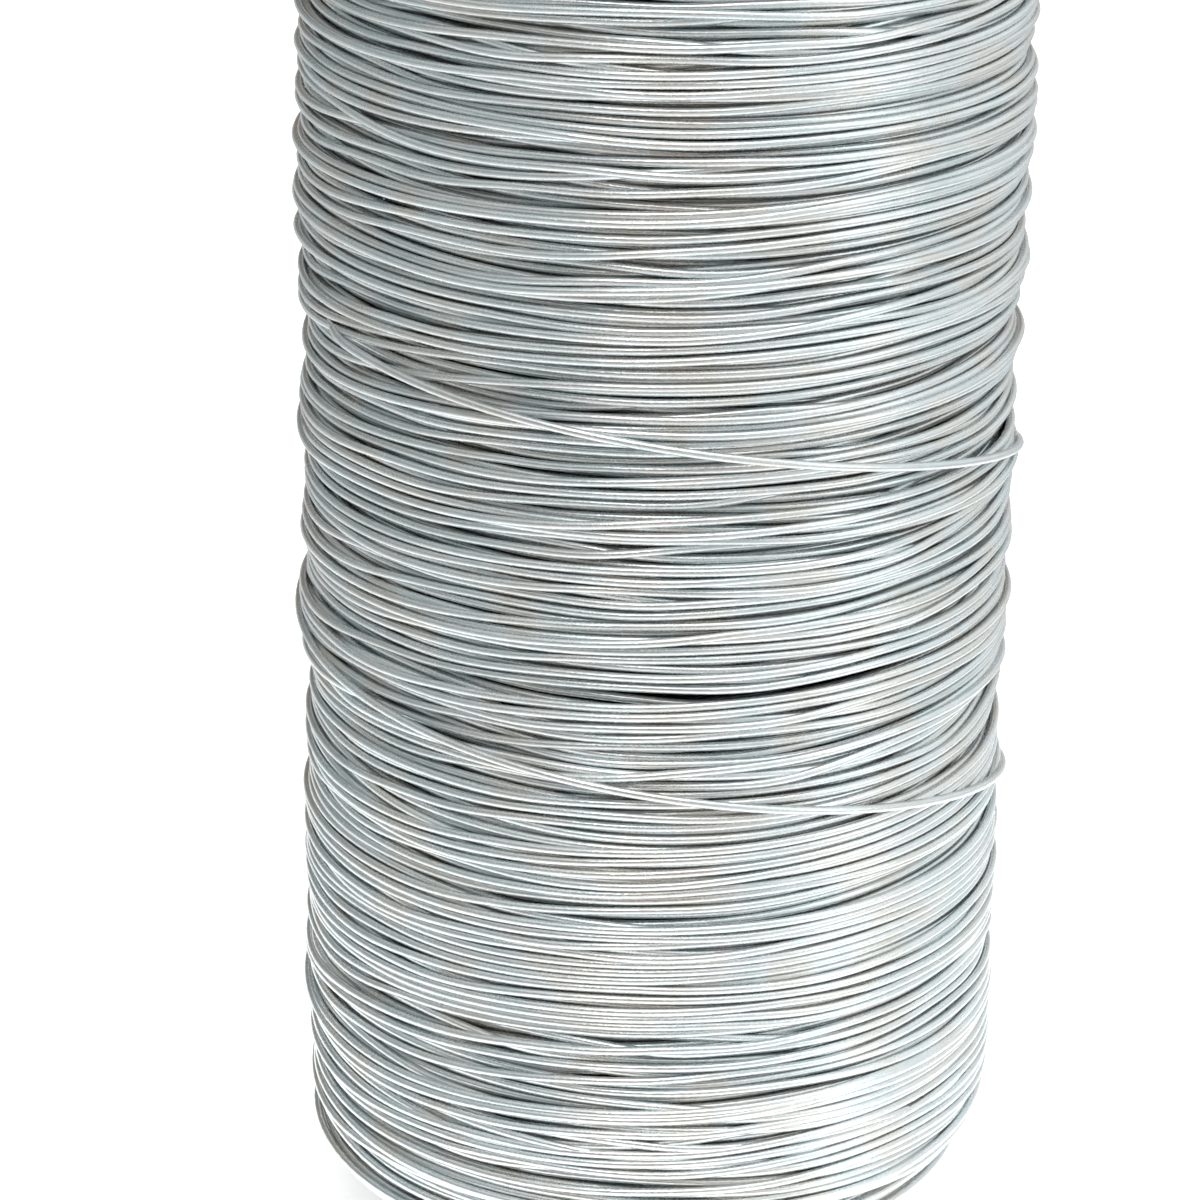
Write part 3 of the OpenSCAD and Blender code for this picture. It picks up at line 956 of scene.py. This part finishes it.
# %% [markdown]
# The bolt's shank is a cylinder whose upper end is threaded. The thread is a helix: a fine
# grid is wrapped round the axis and each point is pushed out by how far along its turn it is.
# The thread runs out smoothly at the bottom and ends in a chamfer.

# %% Threaded rods
BOLT_R = 3
THREAD_DEPTH = 0.55
PITCH = 1.0
THREAD_LEN = 12
RINGS_PER_PITCH = 5
ROD_SIDES = 30


def rod_rings(low_z, high_z):
    """Heights of the rod's rings: a few on the plain shank, many on the thread."""
    thread_low = high_z - THREAD_LEN
    plain = np.linspace(low_z, thread_low, 6)[:-1]
    return np.concatenate([plain, np.linspace(thread_low, high_z, THREAD_LEN * RINGS_PER_PITCH + 1)])


def threaded_rod(name, centre, low_z, high_z):
    """A round rod with a thread at its upper end, closed at both ends."""
    rings = rod_rings(low_z, high_z)
    bpy.ops.object.select_all(action="DESELECT")
    bpy.ops.mesh.primitive_grid_add(x_subdivisions=ROD_SIDES, y_subdivisions=len(rings) - 1, size=2)
    piece = bpy.context.object
    piece.name = piece.data.name = name
    for vertex in piece.data.vertices:
        share_x, share_y = (vertex.co.x + 1) / 2, (vertex.co.y + 1) / 2
        z = rings[round(share_y * (len(rings) - 1))]
        angle = 2 * pi * round(share_x * ROD_SIDES) / ROD_SIDES
        on_thread = smooth((z - (high_z - THREAD_LEN)) / PITCH)
        phase = (z / PITCH - angle / (2 * pi)) % 1
        r = BOLT_R - THREAD_DEPTH * abs(2 * phase - 1) * on_thread
        r = min(r, BOLT_R - 0.7 + (high_z - z) * 0.9)
        vertex.co = Vector((centre[0] + r * cos(angle), centre[1] + r * sin(angle), z)) * MM
    bpy.ops.object.mode_set(mode="EDIT")
    bpy.ops.mesh.select_all(action="SELECT")
    bpy.ops.mesh.remove_doubles(threshold=0.001 * MM)
    bpy.ops.mesh.fill_holes(sides=0)
    bpy.ops.mesh.normals_make_consistent(inside=False)
    bpy.ops.object.mode_set(mode="OBJECT")
    bpy.ops.object.shade_smooth_by_angle(angle=radians(40))
    return piece


# %% Tie bolts, nuts and washers
WASHER_R = 6
WASHER_T = 1.6
washer_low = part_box("head_washer_1")[0].z / MM
washer_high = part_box("nut_washer_1")[0].z / MM
nut_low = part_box("bolt_nut_1")[0].z / MM
nut_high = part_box("bolt_nut_1")[1].z / MM

for number in (1, 2, 3):
    bolt_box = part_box(f"tie_bolt_{number}")
    axis_at = ((bolt_box[0] + bolt_box[1]) / 2 / MM)[:2]
    head_low, end_high = bolt_box[0].z / MM, bolt_box[1].z / MM
    head = hexagon(f"bolt_head_{number}", axis_at, head_low, washer_low, ("low",))
    rod = threaded_rod(f"tie_bolt_steel_{number}", axis_at, washer_low - 0.2, end_high)
    bpy.ops.object.select_all(action="DESELECT")
    head.select_set(True)
    rod.select_set(True)
    bpy.context.view_layer.objects.active = rod
    bpy.ops.object.join()
    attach(rod, BODY)
    stands_for(rod, f"tie_bolt_{number}", plate)
    for name, low_z in (("head_washer", washer_low), ("nut_washer", washer_high)):
        section = [(BOLT_R + 0.15, low_z), (WASHER_R, low_z), (WASHER_R, low_z + WASHER_T),
                   (BOLT_R + 0.15, low_z + WASHER_T)]
        washer = lathe(f"{name}_stamped_{number}", chamfered(section, 0.22), 48, axis_at)
        stands_for(washer, f"{name}_{number}", plate)
    nut = hexagon(f"bolt_nut_forged_{number}", axis_at, nut_low, nut_high, ("low", "high"))
    stands_for(nut, f"bolt_nut_{number}", plate)
print("bolt faces", len(rod.data.polygons), "nut faces", len(nut.data.polygons))

# %% [markdown]
# The barrel is a tube of kraft paper, wound on a slant from a narrow strip. The strip's
# edges show inside the tube as a helix, and its fibres run along the strip. Both come from
# the angle round the axis and the height, which turn into a place on the strip.

# %% Barrel
STRIP = 95 * MM


def wound_paper():
    """Kraft paper whose seams run round the tube as a helix."""
    made, tree, shader = new_material("barrel_fibre")
    place = object_place(tree)
    axes_of = add_node(tree, "ShaderNodeSeparateXYZ")
    tree.links.new(place, axes_of.inputs[0])
    angle = maths(tree, "ARCTAN2", axes_of.outputs["Y"], axes_of.outputs["X"])
    turns_round = maths(tree, "DIVIDE", angle, 2 * pi)
    climbed = maths(tree, "ADD", maths(tree, "DIVIDE", axes_of.outputs["Z"], STRIP), turns_round)
    on_strip = maths(tree, "FRACT", climbed)
    seam = ramp(tree, on_strip, [(0.0, 1.0), (0.012, 0.0), (0.988, 0.0), (1.0, 1.0)])
    pulp = noise(tree, place, 350.0, (1, 1, 3), 5, 0.65)
    flecks = noise(tree, place, 1500.0, detail=2)
    kraft = ramp(tree, pulp, [(0.3, (0.3, 0.2, 0.115)), (0.7, (0.47, 0.34, 0.21))])
    flecked = mixed(tree, ramp(tree, flecks, [(0.62, 0.0), (0.7, 0.5)]), kraft, (0.2, 0.13, 0.08))
    tree.links.new(mixed(tree, seam, flecked, (0.1, 0.065, 0.04)), shader.inputs["Base Color"])
    tree.links.new(ramp(tree, pulp, [(0.3, 0.75), (0.7, 0.9)]), shader.inputs["Roughness"])
    fuzzy = bump(tree, pulp, 0.08 * MM)
    tree.links.new(bump(tree, seam, -0.15 * MM, after=fuzzy), shader.inputs["Normal"])
    return made


give(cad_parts["barrel_tube"], wound_paper())

# %% [markdown]
# The layers deep inside the winding stay the plain CAD ring, far under the turns that are
# modelled. Its finish still says what it is: turns of wire side by side. Its zinc is darker
# than the outer wire's: painted shade for the depth inside the winding.

# %% Inner layers
def buried_wire_painted_shade():
    """Dull zinc in round ridges, one wire high each, darkened by painted shade."""
    made, tree, shader = new_material("wire_inner_painted_shade")
    place = object_place(tree)
    axes_of = add_node(tree, "ShaderNodeSeparateXYZ")
    tree.links.new(place, axes_of.inputs[0])
    across_wire = maths(tree, "FRACT", maths(tree, "DIVIDE", axes_of.outputs["Z"], WIRE_D * MM))
    off_middle = maths(tree, "MULTIPLY", maths(tree, "SUBTRACT", across_wire, 0.5), 2.0)
    squared = maths(tree, "POWER", off_middle, 2.0)
    hollow = maths(tree, "SQRT", maths(tree, "SUBTRACT", 1.0, squared, clamp=True))
    streaks = noise(tree, place, 700.0, (1, 1, 6), 3)
    # Painted shade: the same zinc as the outer wire, made darker because it lies deep in the winding.
    zinc = ramp(tree, streaks, [(0.3, (0.3, 0.33, 0.33)), (0.7, (0.45, 0.48, 0.48))])
    tree.links.new(zinc, shader.inputs["Base Color"])
    shader.inputs["Metallic"].default_value = 1.0
    tree.links.new(ramp(tree, streaks, [(0.3, 0.35), (0.7, 0.5)]), shader.inputs["Roughness"])
    tree.links.new(bump(tree, hollow, WIRE_R * MM), shader.inputs["Normal"])
    return made


give(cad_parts["wire_inner_layers"], buried_wire_painted_shade())
